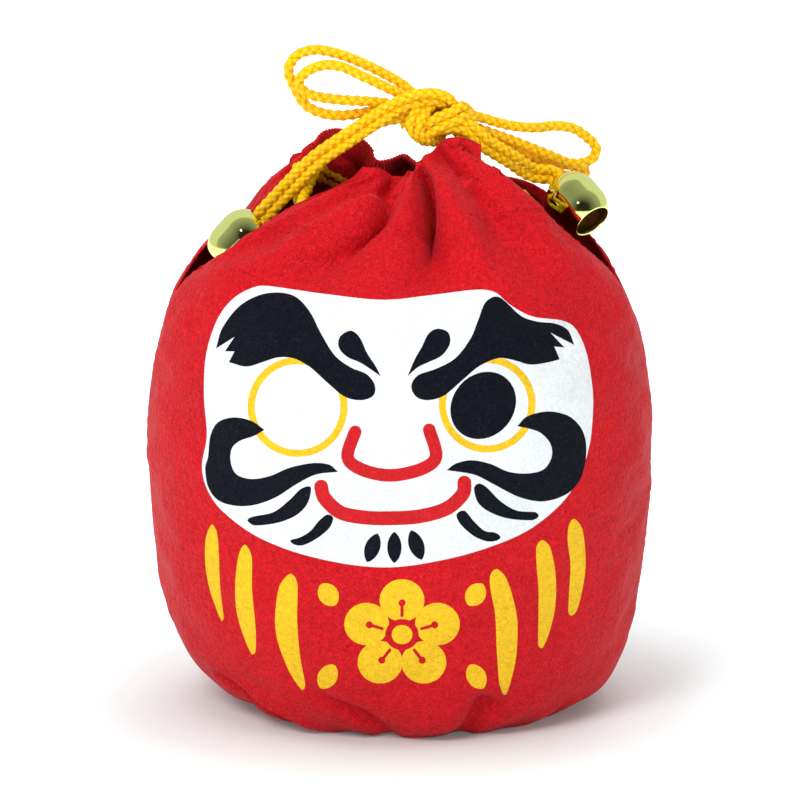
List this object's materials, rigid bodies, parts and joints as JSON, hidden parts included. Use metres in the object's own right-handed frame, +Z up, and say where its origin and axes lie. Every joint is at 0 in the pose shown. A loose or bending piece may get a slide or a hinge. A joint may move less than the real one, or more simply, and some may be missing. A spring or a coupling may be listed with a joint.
{
  "type": "drawstring pouch",
  "caption": "Small round-bellied cloth drawstring pouch printed with a folk doll's face, its gathered mouth tied in a cord bow with bead ends.",
  "frame": {"origin": "centre of the base, on the surface it stands on", "axes": "+Z up, the printed face looks along -Y, +X to the right as seen from the front"},
  "size_m": [0.126, 0.109, 0.1647],
  "materials": {
    "printed_cloth": "red crepe cloth with a white, black, red and gold print",
    "red_cloth": "red crepe cloth",
    "seam_thread": "overlocked red thread",
    "cord": "braided yellow cord",
    "bead_plating": "pale gold plating on plastic"
  },
  "bodies": {
    "pouch": {"front_panel": "printed_cloth", "back_panel": "red_cloth", "base_panel": "red_cloth", "base_seam": "seam_thread", "seam_left": "seam_thread", "seam_right": "seam_thread", "bridge_left": "cord", "bridge_right": "cord", "riser_left": "cord", "riser_right": "cord", "bow_knot": "cord"},
    "front_mouth": {"front_casing": "printed_cloth", "front_facing": "red_cloth", "front_stitching": "seam_thread", "front_drawstrings": "cord"},
    "back_mouth": {"back_casing": "red_cloth", "back_facing": "red_cloth", "back_stitching": "seam_thread", "back_drawstrings": "cord"},
    "loop_left": {"bow_loop_left": "cord"},
    "loop_right": {"bow_loop_right": "cord"},
    "tail_pair_left": {"tail_left": "cord", "end_knot_left": "cord"},
    "tail_pair_right": {"tail_right": "cord", "end_knot_right": "cord"},
    "bead_body_left": {"bead_left": "bead_plating"},
    "bead_body_right": {"bead_right": "bead_plating"}
  },
  "joints": [
    {"name": "mouth_front_opens", "type": "slide", "parent": "pouch", "child": "front_mouth", "axis": [0, -1, 0], "range_m": [0, 0.008]},
    {"name": "mouth_back_opens", "type": "slide", "parent": "pouch", "child": "back_mouth", "axis": [0, 1, 0], "range_m": [0, 0.008]},
    {"name": "loop_left_lifts", "type": "hinge", "parent": "pouch", "child": "loop_left", "pos_m": [-0.002, 0.0045, 0.1525], "axis": [0, 1, 0], "range_deg": [0, 30]},
    {"name": "loop_right_lifts", "type": "hinge", "parent": "pouch", "child": "loop_right", "pos_m": [0.018, 0.005, 0.145], "axis": [0, -1, 0], "range_deg": [0, 30]},
    {"name": "tail_left_lifts", "type": "hinge", "parent": "pouch", "child": "tail_pair_left", "pos_m": [-0.004, -0.0024, 0.149], "axis": [0, 1, 0], "range_deg": [0, 45]},
    {"name": "tail_right_lifts", "type": "hinge", "parent": "pouch", "child": "tail_pair_right", "pos_m": [0.021, -0.0012, 0.1415], "axis": [0, -1, 0], "range_deg": [0, 40]},
    {"name": "bead_left_slides", "type": "slide", "parent": "tail_pair_left", "child": "bead_body_left", "axis": [0.6633, -0.0553, 0.7463], "range_m": [0, 0.006]},
    {"name": "bead_right_slides", "type": "slide", "parent": "tail_pair_right", "child": "bead_body_right", "axis": [-0.5503, 0.6003, 0.5803], "range_m": [0, 0.002]}
  ],
  "couplings": [
    {"joint": "mouth_back_opens", "follows": "mouth_front_opens", "ratio": 1}
  ]
}
